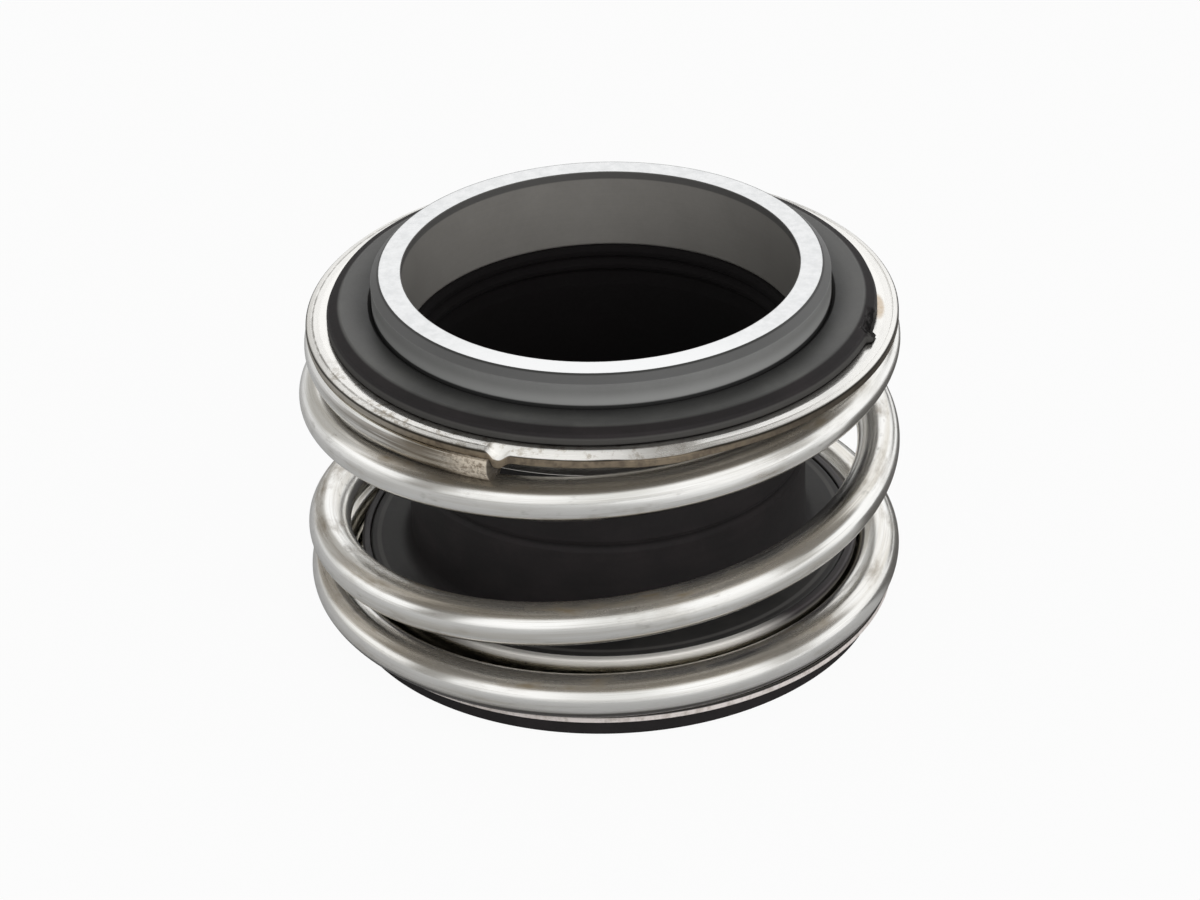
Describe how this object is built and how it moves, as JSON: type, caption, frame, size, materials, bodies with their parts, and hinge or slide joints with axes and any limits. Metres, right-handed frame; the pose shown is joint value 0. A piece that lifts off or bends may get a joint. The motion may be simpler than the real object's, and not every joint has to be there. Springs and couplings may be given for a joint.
{
  "type": "mechanical seal",
  "caption": "Rotating half of a shaft seal: a flat-faced ceramic ring in a rubber bellows, pressed forward by one coil spring between two pressed steel rings.",
  "frame": {"origin": "on the shaft axis, in the plane of the tail face that rests on the shaft collar", "axes": "+Z along the shaft from the tail face to the sealing face; the spring's head tip lies 112 degrees clockwise of +X, seen from above"},
  "size_m": [0.0452, 0.0452, 0.0282],
  "materials": {
    "lapped_ceramic": "dark grey, fine ground, with a bright lapped end face",
    "black_rubber": "matt moulded black rubber",
    "stainless_sheet": "pressed stainless sheet, sheared edge",
    "spring_wire": "drawn stainless wire, satin, ends ground flat"
  },
  "bodies": {
    "tail": {"bellows": "black_rubber", "tail_ring": "stainless_sheet", "spring": "spring_wire"},
    "head": {"face_ring": "lapped_ceramic", "head_ring": "stainless_sheet"}
  },
  "joints": [
    {"name": "axial_compression", "type": "slide", "parent": "tail", "child": "head", "axis": [0, 0, 1], "range_m": [-0.005, 0], "stiffness_N_per_m": 6200, "deforming": ["spring", "bellows"]}
  ]
}
